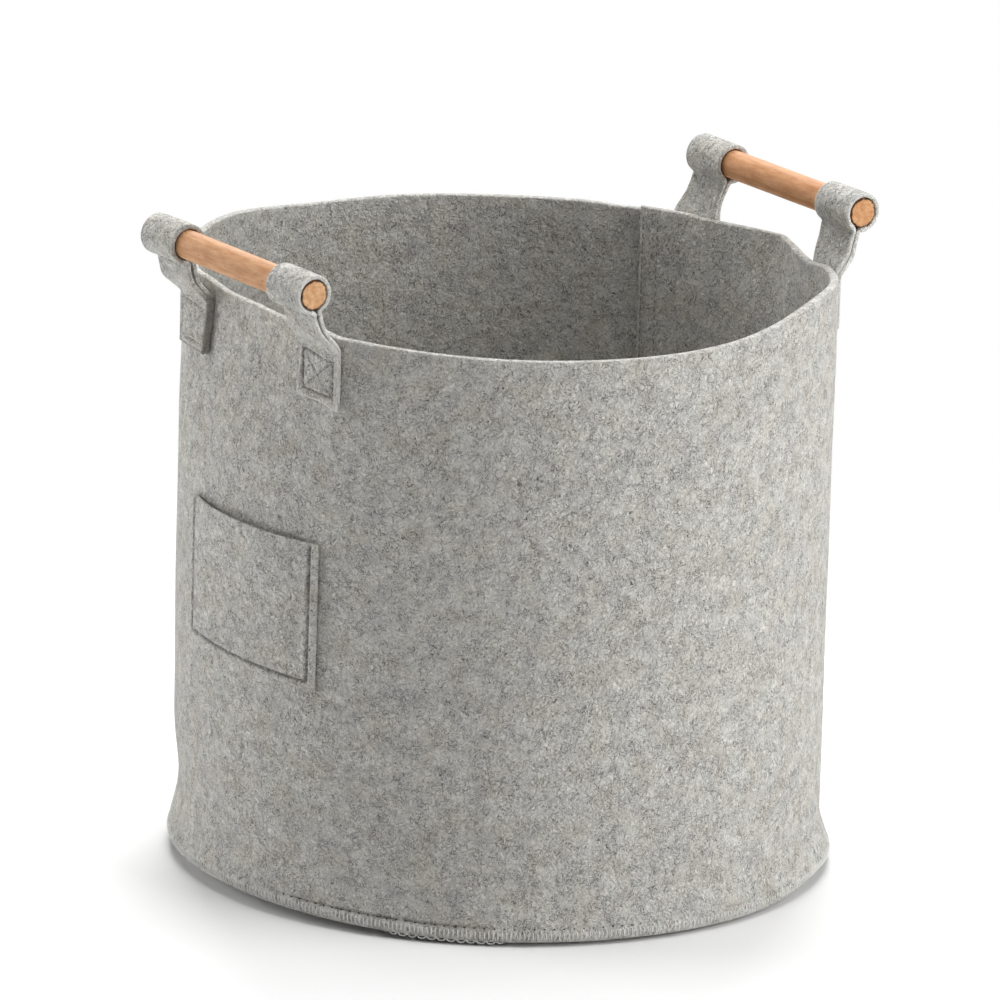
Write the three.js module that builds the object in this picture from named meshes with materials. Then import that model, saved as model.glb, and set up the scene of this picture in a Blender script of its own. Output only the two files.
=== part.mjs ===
// Felt storage basket with two wooden-dowel handles, in millimetres, +Z up.
// The origin is the middle of the footprint on the floor. The handles stand at -X (left) and +X (right),
// their dowels run along Y, and -Y is the front.
import * as THREE from "three";

// Wall: one felt sheet rolled into a cylinder, its ends lapped at the back right
const WALL_RADIUS = 175; // outside, where the wall is round
const WALL_THICKNESS = 4.5;
const RIM_HEIGHT = 320; // floor to rim
const LAP_WIDTH = 15; // how far the ends overlap
const LAP_FROM_FLAT = 4; // from the flat behind the right rear strap to the outer end of the sheet
const LAP_EASE = 18; // over which the outer layer comes back in to the round wall
const HEM_FLARE = 4; // how far the hem stands out beyond the wall
const HEM_HEIGHT = 26; // floor to where the flare starts

// Base: a felt disc sewn to the hem, its edge turned up a little
const BASE_THICKNESS = 4;
const BASE_EDGE_LIFT = 1.5;
const BASE_EDGE_WIDTH = 13; // width of the turned-up ring

// Gap left between layers that are sewn together
const SEAM_GAP = 0.3;

// Straps: felt strips folded double round the dowels, both ends sewn to the outside of the wall
const STRAP_WIDTH = 30;
const STRAP_LAYER = 2.5; // thickness of one layer
const STRAP_SPACING = 118; // middle to middle, along the dowel
const STRAP_LEAN = 18.5; // degrees outward at rest
const STRAP_FOLD = 120; // degrees outward, where the doubled felt jams on its own sewn end
const TAB_HEIGHT = 26; // the sewn part of a strap
const TAB_EDGE_SOFTNESS = 0.8;
const BEND_BELOW_RIM = 5; // rim to the line that a strap swings about
const NECK_FILLET = 4; // radius between a strap's stem and its loop

// Dowels
const DOWEL_RADIUS = 8;
const DOWEL_LENGTH = 148;
const DOWEL_CHAMFER = 0.6;
const DOWEL_HEIGHT_ON_STRAP = 35; // bend line to dowel axis, along the strap
const DOWEL_CLEARANCE = 0.3; // between the dowel and the felt round it

// The wall is drawn flat behind each strap, on the left also between the straps. On the right it buckles
// outward between them.
const FLAT_DEPTH = 11; // how far a flat's outside lies within the round wall's
const FLAT_MARGIN = 1; // flat beyond each side of the strap
const FLAT_BLEND = 26; // over which the flat turns back into the round wall
const FLAT_FADE = 70; // height below the tabs over which the flats fade out
const BUCKLE_REACH = 7; // how far the rim stands out beyond the round wall, in the middle of the buckle

// Patch pocket under the left handle
const POCKET_WIDTH = 106; // along the wall
const POCKET_HEIGHT = 79;
const POCKET_THICKNESS = 3;
const POCKET_FOOT = 131; // floor to its lower edge
const POCKET_TURN = 4.7; // degrees from the middle of the left side towards the front
const POCKET_MOUTH = 2; // how far its top edge stands off the wall in the middle

// Facets
const MIDDLE_FACETS = 6; // from the middle of a side to a flat
const FLAT_FACETS = 2;
const CORNER_FACETS = 18; // from a flat round to the front or back
const LAP_FACETS = 2;
const EASE_FACETS = 4;
const FADE_STEPS = 4;
const FLARE_STEPS = 3;
const BASE_FACETS = 96;
const POCKET_FACETS = [16, 6];
const DOWEL_FACETS = 48;
const ARC_FACETS = 16;

const feltWall = new THREE.MeshStandardMaterial({ color: 0xa5a4a1, roughness: 0.95, metalness: 0 });
const feltBase = new THREE.MeshStandardMaterial({ color: 0x9c9b98, roughness: 0.95, metalness: 0 });
const feltPocket = new THREE.MeshStandardMaterial({ color: 0xa5a4a1, roughness: 0.95, metalness: 0 });
const feltStrap = new THREE.MeshStandardMaterial({ color: 0xb4b3b0, roughness: 0.95, metalness: 0 });
const beech = new THREE.MeshStandardMaterial({ color: 0xcd9a73, roughness: 0.6, metalness: 0 });

const footRadius = WALL_RADIUS + HEM_FLARE;
const strapThickness = 2 * STRAP_LAYER;
const bendHeight = RIM_HEIGHT - BEND_BELOW_RIM;
const flatDistance = WALL_RADIUS - FLAT_DEPTH;
const bendDistance = flatDistance + SEAM_GAP + STRAP_LAYER;
const tabTop = bendHeight - STRAP_LAYER - SEAM_GAP;
const tabFoot = tabTop - TAB_HEIGHT;
const flatStart = (STRAP_SPACING - STRAP_WIDTH) / 2 - FLAT_MARGIN;
const flatEnd = (STRAP_SPACING + STRAP_WIDTH) / 2 + FLAT_MARGIN;
const basket = new THREE.Group();

// Adds a named mesh to a group.
function addPiece(group, name, geometry, material) {
  const mesh = new THREE.Mesh(geometry, material);
  mesh.name = name;
  group.add(mesh);
  return mesh;
}

// The height of the base's upper side at a distance from the axis.
function baseTop(radius) {
  const turned = THREE.MathUtils.clamp((radius - (footRadius - BASE_EDGE_WIDTH)) / BASE_EDGE_WIDTH, 0, 1);
  return BASE_THICKNESS + BASE_EDGE_LIFT * turned;
}

// Where the flat behind a strap starts and ends, as angles from the middle of a side.
function flatAngles() {
  return [flatStart, flatEnd].map((y) => Math.atan2(y, flatDistance));
}

// The angles of the wall's vertices over a quarter turn, with one on each edge of the flat.
function quarterAngles() {
  const [start, end] = flatAngles();
  const stretches = [
    [0, start, MIDDLE_FACETS],
    [start, end, FLAT_FACETS],
    [end, Math.PI / 2, CORNER_FACETS],
  ];
  return stretches.flatMap(([from, to, steps]) =>
    Array.from({ length: steps }, (_, i) => THREE.MathUtils.lerp(from, to, i / steps)),
  );
}

// The same angles over the whole turn, mirrored from quarter to quarter.
function wallAngles() {
  const quarter = quarterAngles();
  const back = [...quarter.slice(1), Math.PI / 2].reverse().map((angle) => Math.PI - angle);
  const half = [...quarter, ...back];
  return [...half, ...half.map((angle) => angle + Math.PI)];
}

// How far the handles draw the wall out, or in where it is negative, at an angle and a height. The flats
// fade out below the tabs, and the buckle grows from the foot of the tabs to the rim.
function handlePush(angle, z) {
  const onLeft = Math.cos(angle) < 0;
  const fromSide = Math.abs(Math.atan(Math.tan(angle)));
  const y = flatDistance * Math.tan(fromSide);
  const beyond = Math.max(y - flatEnd, onLeft ? 0 : flatStart - y);
  const across = 1 - THREE.MathUtils.smoothstep(beyond, 0, FLAT_BLEND);
  const down = THREE.MathUtils.smoothstep(z, tabFoot - FLAT_FADE, tabFoot);
  const flat = across * down * (flatDistance / Math.cos(fromSide) - WALL_RADIUS);
  if (onLeft || y > flatStart || z < tabFoot) return flat;
  const buckle = (1 - y / flatStart) * THREE.MathUtils.inverseLerp(tabFoot, RIM_HEIGHT, z);
  return flat + buckle * BUCKLE_REACH;
}

// The sheet's ends: the angle of the outer one, of the inner one, and where the outer layer is round again.
function lapAngles() {
  const outerEnd = flatAngles()[1] + LAP_FROM_FLAT / WALL_RADIUS;
  const innerEnd = outerEnd + LAP_WIDTH / WALL_RADIUS;
  return { outerEnd, innerEnd, easeEnd: innerEnd + LAP_EASE / WALL_RADIUS };
}

// The angles of the sheet's columns, from its outer end once round the basket to its inner end.
function sheetAngles() {
  const { outerEnd, innerEnd, easeEnd } = lapAngles();
  const turn = 2 * Math.PI;
  const steps = (from, to, count) =>
    Array.from({ length: count }, (_, i) => THREE.MathUtils.lerp(from, to, i / count));
  const lap = steps(outerEnd, innerEnd, LAP_FACETS);
  const spare = (easeEnd - innerEnd) / EASE_FACETS / 2;
  const round = wallAngles().filter((angle) => angle > easeEnd + spare);
  const nextTurn = wallAngles().filter((angle) => angle <= flatAngles()[1] + 1e-9);
  return [
    ...lap,
    ...steps(innerEnd, easeEnd, EASE_FACETS),
    easeEnd,
    ...round,
    ...[...nextTurn, ...lap, innerEnd].map((angle) => angle + turn),
  ];
}

// How far the outer layer stands out so that it clears the inner end of the sheet.
function lapPush(angle) {
  const { innerEnd, easeEnd } = lapAngles();
  return (WALL_THICKNESS + SEAM_GAP) * (1 - THREE.MathUtils.smoothstep(angle, innerEnd, easeEnd));
}

// The sheet's rows from the hem to the rim: each one's distance from the axis outside, and its height.
function sheetRows() {
  const hemFoot = baseTop(footRadius) + SEAM_GAP;
  const flare = Array.from({ length: FLARE_STEPS + 1 }, (_, i) => {
    const up = i / FLARE_STEPS;
    return [WALL_RADIUS + HEM_FLARE * (1 - up) ** 2, THREE.MathUtils.lerp(hemFoot, HEM_HEIGHT, up)];
  });
  const fade = Array.from({ length: FADE_STEPS + 1 }, (_, i) => [
    WALL_RADIUS,
    tabFoot - FLAT_FADE * (1 - i / FADE_STEPS),
  ]);
  return [...flare, ...fade, [WALL_RADIUS, RIM_HEIGHT]];
}

// The wall is a flat sheet in columns and rows, rolled round the axis, its ends lapped, and drawn flat
// behind the straps. Its hem follows the turned-up edge of the base.
function wallGeometry() {
  const angles = sheetAngles();
  const rows = sheetRows();
  const size = [angles.length - 1, rows.length - 1];
  const geometry = new THREE.BoxGeometry(...size, 1, ...size, 1);
  const position = geometry.getAttribute("position");
  for (let i = 0; i < position.count; i++) {
    const angle = angles[Math.round(position.getX(i) + size[0] / 2)];
    const row = Math.round(position.getY(i) + size[1] / 2);
    const inward = position.getZ(i) > 0 ? 0 : WALL_THICKNESS;
    const [outside, height] = rows[row];
    const radius = outside - inward + handlePush(angle, height) + lapPush(angle);
    const z = row === 0 ? baseTop(radius) + SEAM_GAP : height;
    position.setXYZ(i, radius * Math.cos(angle), radius * Math.sin(angle), z);
  }
  return geometry;
}

// The base is turned from its section: a flat disc whose outer ring rises.
function baseGeometry() {
  const ringStart = footRadius - BASE_EDGE_WIDTH;
  const profile = [
    [0, 0],
    [ringStart, 0],
    [footRadius, BASE_EDGE_LIFT],
    [footRadius, baseTop(footRadius)],
    [ringStart, BASE_THICKNESS],
    [0, BASE_THICKNESS],
  ].map(([r, z]) => new THREE.Vector2(r, z));
  return new THREE.LatheGeometry(profile, BASE_FACETS).rotateX(Math.PI / 2);
}

// The pocket is a flat plate bent round the wall, standing off it in the middle of its top edge.
function pocketGeometry() {
  const geometry = new THREE.BoxGeometry(POCKET_WIDTH, POCKET_HEIGHT, POCKET_THICKNESS, ...POCKET_FACETS, 1);
  const position = geometry.getAttribute("position");
  const middle = Math.PI + THREE.MathUtils.degToRad(POCKET_TURN);
  for (let i = 0; i < position.count; i++) {
    const across = (2 * position.getX(i)) / POCKET_WIDTH;
    const up = position.getY(i) / POCKET_HEIGHT + 0.5;
    const standOff = POCKET_MOUTH * Math.cos((across * Math.PI) / 2) * up ** 2;
    const radius = WALL_RADIUS + SEAM_GAP + standOff + POCKET_THICKNESS / 2 + position.getZ(i);
    const angle = middle + position.getX(i) / WALL_RADIUS;
    position.setXYZ(i, radius * Math.cos(angle), radius * Math.sin(angle), POCKET_FOOT + POCKET_HEIGHT * up);
  }
  return geometry;
}

// A shape drawn in X and Z, extruded along Y about a middle.
function acrossStrap(shape, middle) {
  return new THREE.ExtrudeGeometry(shape, { depth: STRAP_WIDTH, bevelEnabled: false, curveSegments: ARC_FACETS })
    .rotateX(Math.PI / 2)
    .translate(0, middle + STRAP_WIDTH / 2, 0);
}

// The sewn part of a strap: two layers against the wall, the lower outer edge pressed by the stitches. The
// top is level at first, then slopes down outward, and clears the stem that is folded down over it.
function tabShape() {
  const inside = flatDistance + SEAM_GAP;
  const outside = inside + strapThickness;
  const fold = THREE.MathUtils.degToRad(STRAP_FOLD);
  const clear = STRAP_LAYER + SEAM_GAP;
  const shape = new THREE.Shape();
  shape.moveTo(inside, tabFoot);
  shape.lineTo(outside - TAB_EDGE_SOFTNESS, tabFoot);
  shape.lineTo(outside, tabFoot + TAB_EDGE_SOFTNESS);
  shape.lineTo(outside, bendHeight - (clear - STRAP_LAYER * Math.cos(fold)) / Math.sin(fold));
  shape.lineTo(bendDistance + (clear * (1 - Math.sin(fold))) / Math.cos(fold), tabTop);
  shape.lineTo(inside, tabTop);
  shape.closePath();
  return shape;
}

// The free part of a strap from its side: a stem with a round foot on the bend line, and a loop round the
// dowel, joined by fillets. The bend line is at the shape's origin.
function loopShape() {
  const bore = DOWEL_RADIUS + DOWEL_CLEARANCE;
  const outer = bore + STRAP_LAYER;
  const filletAside = STRAP_LAYER + NECK_FILLET;
  const filletDrop = Math.sqrt((outer + NECK_FILLET) ** 2 - filletAside ** 2);
  const filletHeight = DOWEL_HEIGHT_ON_STRAP - filletDrop;
  const turn = Math.atan2(filletDrop, filletAside);
  const shape = new THREE.Shape();
  shape.moveTo(STRAP_LAYER, 0);
  shape.absarc(filletAside, filletHeight, NECK_FILLET, Math.PI, Math.PI - turn, true);
  shape.absarc(0, DOWEL_HEIGHT_ON_STRAP, outer, -turn, Math.PI + turn, false);
  shape.absarc(-filletAside, filletHeight, NECK_FILLET, turn, 0, true);
  shape.absarc(0, 0, STRAP_LAYER, Math.PI, 2 * Math.PI, false);
  const hole = new THREE.Path();
  hole.absarc(0, DOWEL_HEIGHT_ON_STRAP, bore, 0, 2 * Math.PI, true);
  shape.holes.push(hole);
  return shape;
}

// A dowel with chamfered ends, turned about its own axis, which is Y.
function dowelGeometry() {
  const half = DOWEL_LENGTH / 2;
  const profile = [
    [0, -half],
    [DOWEL_RADIUS - DOWEL_CHAMFER, -half],
    [DOWEL_RADIUS, DOWEL_CHAMFER - half],
    [DOWEL_RADIUS, half - DOWEL_CHAMFER],
    [DOWEL_RADIUS - DOWEL_CHAMFER, half],
    [0, half],
  ].map(([r, y]) => new THREE.Vector2(r, y));
  return new THREE.LatheGeometry(profile, DOWEL_FACETS);
}

// One handle with its two straps, drawn at +X; the left one is the same turned half round.
function addHandle(side) {
  const handle = new THREE.Group();
  const swing = new THREE.Group();
  handle.rotation.z = side === "left" ? Math.PI : 0;
  swing.position.set(bendDistance, 0, bendHeight);
  swing.rotation.y = THREE.MathUtils.degToRad(STRAP_LEAN);
  for (const sign of [-1, 1]) {
    const end = (sign < 0) === (side === "right") ? "front" : "rear";
    const middle = (sign * STRAP_SPACING) / 2;
    addPiece(handle, `${side}_${end}_tab`, acrossStrap(tabShape(), middle), feltStrap);
    addPiece(swing, `${side}_${end}_loop`, acrossStrap(loopShape(), middle), feltStrap);
  }
  const dowel = addPiece(swing, `${side}_dowel`, dowelGeometry(), beech);
  dowel.position.z = DOWEL_HEIGHT_ON_STRAP;
  handle.add(swing);
  basket.add(handle);
}

addPiece(basket, "wall", wallGeometry(), feltWall);
addPiece(basket, "base", baseGeometry(), feltBase);
addPiece(basket, "pocket", pocketGeometry(), feltPocket);
addHandle("left");
addHandle("right");

export default basket;
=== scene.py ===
"""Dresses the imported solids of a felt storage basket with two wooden-dowel handles.

The shapes are worked out in millimetres in the frame of the solids: +Z up, -Y the front, the handles at -X
(left) and +X (right). A mesh is put into Blender in metres, with its place in its vertices.
"""

from __future__ import annotations

import logging
from dataclasses import dataclass
from dataclasses import field
from dataclasses import replace
from enum import Enum

import bmesh
import bpy
import numpy as np
from mathutils import Matrix
from mathutils import Vector

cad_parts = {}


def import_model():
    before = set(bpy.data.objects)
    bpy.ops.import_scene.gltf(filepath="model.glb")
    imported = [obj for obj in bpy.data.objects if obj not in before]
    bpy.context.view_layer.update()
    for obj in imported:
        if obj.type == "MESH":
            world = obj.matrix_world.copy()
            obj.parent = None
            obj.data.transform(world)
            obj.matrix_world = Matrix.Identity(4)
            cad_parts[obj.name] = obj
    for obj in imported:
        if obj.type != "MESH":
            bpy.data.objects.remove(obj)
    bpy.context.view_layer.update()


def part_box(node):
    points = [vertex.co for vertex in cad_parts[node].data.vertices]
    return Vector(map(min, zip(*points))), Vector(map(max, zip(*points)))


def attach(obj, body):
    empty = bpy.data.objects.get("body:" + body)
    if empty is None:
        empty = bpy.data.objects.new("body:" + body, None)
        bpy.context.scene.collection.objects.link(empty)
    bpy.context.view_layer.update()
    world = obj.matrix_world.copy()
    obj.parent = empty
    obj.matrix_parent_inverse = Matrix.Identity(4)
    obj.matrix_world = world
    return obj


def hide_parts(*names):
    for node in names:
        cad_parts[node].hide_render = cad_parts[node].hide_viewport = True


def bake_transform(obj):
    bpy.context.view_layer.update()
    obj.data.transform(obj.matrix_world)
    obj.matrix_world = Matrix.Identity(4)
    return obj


MM = 0.001
Array = np.ndarray
Point = tuple[float, float, float]
Pair = tuple[float, float]
Tree = bpy.types.NodeTree
Socket = bpy.types.NodeSocket
Material = bpy.types.Material
Object = bpy.types.Object

# Where a sheet has its rows of points near a cut edge, as shares of the edge's width
CUT_ROWS = np.array([0.0, 0.05, 0.18, 0.42, 0.72])

log = logging.getLogger("basket")


class Side(Enum):
    """Which side of the basket a handle stands on, as the sign of its X."""

    LEFT = -1
    RIGHT = 1


class End(Enum):
    """Which end of a handle a strap is at, as the sign of its Y."""

    FRONT = -1
    REAR = 1


def linear(code: str) -> tuple[float, float, float, float]:
    """Turns an sRGB hex colour to the linear one that a shader takes.

    Args:
        code: Six hex digits after a hash.

    Returns:
        Linear red, green, blue and an alpha of 1.
    """
    parts = [int(code[i : i + 2], 16) / 255 for i in (1, 3, 5)]
    red, green, blue = [c / 12.92 if c <= 0.04045 else ((c + 0.055) / 1.055) ** 2.4 for c in parts]
    return red, green, blue, 1.0


def smooth(value: Array, low: float, high: float) -> Array:
    """Rises from 0 at low to 1 at high as 3t^2 - 2t^3, level at both ends.

    Args:
        value: Where it is asked for.
        low: The value at which it starts.
        high: The value at which it is 1.

    Returns:
        A share from 0 to 1 for each value.
    """
    t = np.clip((value - low) / (high - low), 0.0, 1.0)
    return t * t * (3 - 2 * t)


def bell(value: Array, middle: float, half: float) -> Array:
    """A soft bump, exp(-((value - middle) / half)^2): 1 at its middle, almost nothing two halves from it."""
    return np.exp(-(((value - middle) / half) ** 2))


def stacked(*parts: Array | float) -> Array:
    """Puts coordinates side by side in a last axis, each one spread to the shape of them all."""
    return np.stack(np.broadcast_arrays(*parts), axis=-1)


def polar(distance: Array | float, angle: Array, height: Array | float) -> Array:
    """Points at a distance from the basket's axis, at a plan angle in radians and at a height."""
    return stacked(distance * np.cos(angle), distance * np.sin(angle), height)


def waver(along: Array, across: Array, size: float) -> Array:
    """A soft unevenness from -1 to 1: the mean of five crossed sine waves of nearby lengths.

    Args:
        along: First position on the surface, in millimetres.
        across: Second position on the surface, in millimetres.
        size: The typical length of a wave, in millimetres.

    Returns:
        The unevenness at each position.
    """
    total = np.zeros(np.broadcast(along, across).shape)
    for k in range(5):
        turn = 0.7 + 1.26 * k
        stretch = 2 * np.pi / (size * (0.8 + 0.17 * k))
        total += np.sin(stretch * (along * np.cos(turn) + across * np.sin(turn)) + 2.4 * k)
    return total / 5


def cut_edge(distance: Array, radius: float) -> Array:
    """How full the felt is near a cut edge: a rounded square corner, (1 - (1 - d/r)^2.6)^(1/2.6).

    Args:
        distance: Distance from the edge, in millimetres.
        radius: How far in from the edge the felt has its full thickness.

    Returns:
        A share of the thickness, 0 on the edge and 1 from the radius on.
    """
    t = np.clip(distance / radius, 0.0, 1.0)
    return (1 - (1 - t) ** 2.6) ** (1 / 2.6)


def spread(length: float, step: float, edge: float, fine: tuple[float, ...] = ()) -> Array:
    """Positions across a cut sheet: a few close together at each cut edge, evenly spaced between.

    Args:
        length: The sheet's length, in millimetres.
        step: The spacing away from the edges.
        edge: The width of the close part.
        fine: Places where a seam crosses, which get closer positions too.

    Returns:
        The positions from 0 to the length.
    """
    near = CUT_ROWS * edge
    count = max(2, round((length - 2 * edge) / step) + 1)
    middle = np.linspace(edge, length - edge, count)
    for place in fine:
        seam = place + np.linspace(-1.6, 1.6, 11)
        middle = np.concatenate([middle[np.abs(middle - place) > 1.75], seam])
    return np.concatenate([near, np.sort(middle), length - near[::-1]])


def to_lines(u: Array, v: Array, lines: list[tuple[Pair, Pair]]) -> Array:
    """The distance from each place on a sheet to the nearest of some straight lines on it.

    Args:
        u: Place across the sheet, in millimetres.
        v: Place along the sheet, in millimetres.
        lines: The two ends of each line, as (u, v).

    Returns:
        The distances in millimetres.
    """
    nearest = np.full(np.broadcast(u, v).shape, 1e6)
    for (u0, v0), (u1, v1) in lines:
        du, dv = u1 - u0, v1 - v0
        t = np.clip(((u - u0) * du + (v - v0) * dv) / (du * du + dv * dv), 0.0, 1.0)
        nearest = np.minimum(nearest, np.hypot(u - u0 - t * du, v - v0 - t * dv))
    return nearest


def normals(surface: Array) -> Array:
    """Unit normals of a grid of points, the cross product of its two directions.

    Args:
        surface: Points as rows, columns, 3. Columns run along u and rows along v.

    Returns:
        The normals, pointing along u x v.
    """
    across = np.gradient(surface, axis=1)
    along = np.gradient(surface, axis=0)
    found = np.cross(across, along)
    return found / np.maximum(np.linalg.norm(found, axis=2, keepdims=True), 1e-12)


def numbers(points: Array) -> Array:
    """The vertex numbers of a grid of points, as rows and columns."""
    return np.arange(points[..., 0].size).reshape(points.shape[:2])


def quads(index: Array, wrap: bool = False) -> Array:
    """The four-sided faces of a grid of vertex numbers.

    Args:
        index: Vertex numbers as rows and columns.
        wrap: Whether the last column joins the first.

    Returns:
        One row of four vertex numbers for each face.
    """
    if wrap:
        index = np.concatenate([index, index[:, :1]], axis=1)
    corners = [index[:-1, :-1], index[:-1, 1:], index[1:, 1:], index[1:, :-1]]
    return np.stack(corners, axis=-1).reshape(-1, 4)


def make_piece(
    name: str,
    points: Array,
    faces: Array,
    materials: list[Material],
    slots: Array | None = None,
    **attributes: Array,
) -> Object:
    """Puts points and faces into a new smooth-shaded object at the origin.

    Args:
        name: The piece's name.
        points: Vertices in millimetres, one row each.
        faces: Vertex numbers, one row of four for each face.
        materials: The piece's materials.
        slots: The number of each face's material.
        **attributes: Values for each vertex, numbers or vectors, by name.

    Returns:
        The object.
    """
    mesh = bpy.data.meshes.new(name)
    mesh.from_pydata(points.reshape(-1, 3) * MM, [], faces.tolist())
    for key, values in attributes.items():
        vector = values.ndim == 2
        made = mesh.attributes.new(key, "FLOAT_VECTOR" if vector else "FLOAT", "POINT")
        made.data.foreach_set("vector" if vector else "value", values.astype(np.float32).ravel())
    if slots is not None:
        mesh.polygons.foreach_set("material_index", slots.astype(np.int32))
    work = bmesh.new()
    work.from_mesh(mesh)
    bmesh.ops.remove_doubles(work, verts=work.verts, dist=1e-7)
    work.to_mesh(mesh)
    work.free()
    mesh.polygons.foreach_set("use_smooth", np.ones(len(mesh.polygons), bool))
    for material in materials:
        mesh.materials.append(material)
    piece = bpy.data.objects.new(name, mesh)
    bpy.context.scene.collection.objects.link(piece)
    return piece


@dataclass
class Sheet:
    """A piece cut from felt: a middle surface with a thickness, and cut edges where it thins to nothing.

    Its vertices carry their place on the flat cut sheet, in millimetres, how near a cut edge they are and
    how hard a seam presses them. Of its half thickness a seam leaves at least the least. From full_press on,
    a seam's depth counts as pressed hard.
    """

    middle: Array
    half: Array
    place: Array
    edge: Array
    press_front: Array | float = 0.0
    press_back: Array | float = 0.0
    wrap: bool = False
    least: float = 0.3
    full_press: float = 0.9

    def build(self, name: str, material: Material) -> Object:
        """Makes the two faces of the sheet, middle + n(h - f) and middle - n(h - b), joined along its edges.

        Args:
            name: The piece's name.
            material: Its felt.

        Returns:
            The piece.
        """
        facing = normals(self._wrapped())[:, 1:-1] if self.wrap else normals(self.middle)
        least = np.minimum(self.half, self.least)
        out = np.maximum(self.half - self.press_front, least)
        into = np.maximum(self.half - self.press_back, least)
        front = self.middle + facing * out[..., None]
        back = self.middle - facing * into[..., None]
        count = self.half.size
        index = np.arange(count).reshape(self.half.shape)
        own = self.half > 0
        behind = index.copy()
        behind[own] = count + np.arange(own.sum())
        faces = np.concatenate([quads(index, self.wrap), quads(behind, self.wrap)[:, ::-1]])
        points = np.concatenate([front.reshape(-1, 3), back[own]])
        flat = np.broadcast_to(self.place, (*self.half.shape, 2)).reshape(-1, 2)
        front_place = np.column_stack([flat, out.ravel()])
        back_place = np.column_stack([flat[own.ravel()], -into[own]])
        pressed = [self._pressed(self.press_front).ravel(), self._pressed(self.press_back)[own]]
        return make_piece(
            name,
            points,
            faces,
            [material],
            felt=np.concatenate([front_place, back_place]),
            cut=np.concatenate([self.edge.ravel(), self.edge[own]]),
            pressed=np.concatenate(pressed),
        )

    def _pressed(self, depth: Array | float) -> Array:
        """How hard a seam presses the felt, as a share from 0 to 1."""
        return np.clip(np.broadcast_to(depth, self.half.shape) / self.full_press, 0.0, 1.0)

    def _wrapped(self) -> Array:
        """The middle surface with one column repeated at each end, for normals across the join."""
        return np.concatenate([self.middle[:, -1:], self.middle, self.middle[:, :1]], axis=1)


def add(
    tree: Tree,
    kind: str,
    values: dict[str | int, object] | None = None,
    links: dict[str | int, Socket] | None = None,
    **settings: object,
) -> bpy.types.NodeOutputs:
    """Adds a node with its settings, its fixed values and its links.

    Args:
        tree: The material's or world's nodes.
        kind: The node's type, without the ShaderNode that each begins with.
        values: Fixed values by socket.
        links: The output that feeds each socket.
        **settings: The node's own settings.

    Returns:
        The node's outputs.
    """
    made = tree.nodes.new(f"ShaderNode{kind}")
    for key, setting in settings.items():
        setattr(made, key, setting)
    for socket, value in (values or {}).items():
        made.inputs[socket].default_value = value
    for socket, source in (links or {}).items():
        tree.links.new(source, made.inputs[socket])
    return made.outputs


def new_material(name: str) -> Material:
    """Makes a material with an empty node tree.

    Args:
        name: The material's name.

    Returns:
        The material.
    """
    material = bpy.data.materials.new(name)
    material.use_nodes = True
    material.node_tree.nodes.clear()
    return material


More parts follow.
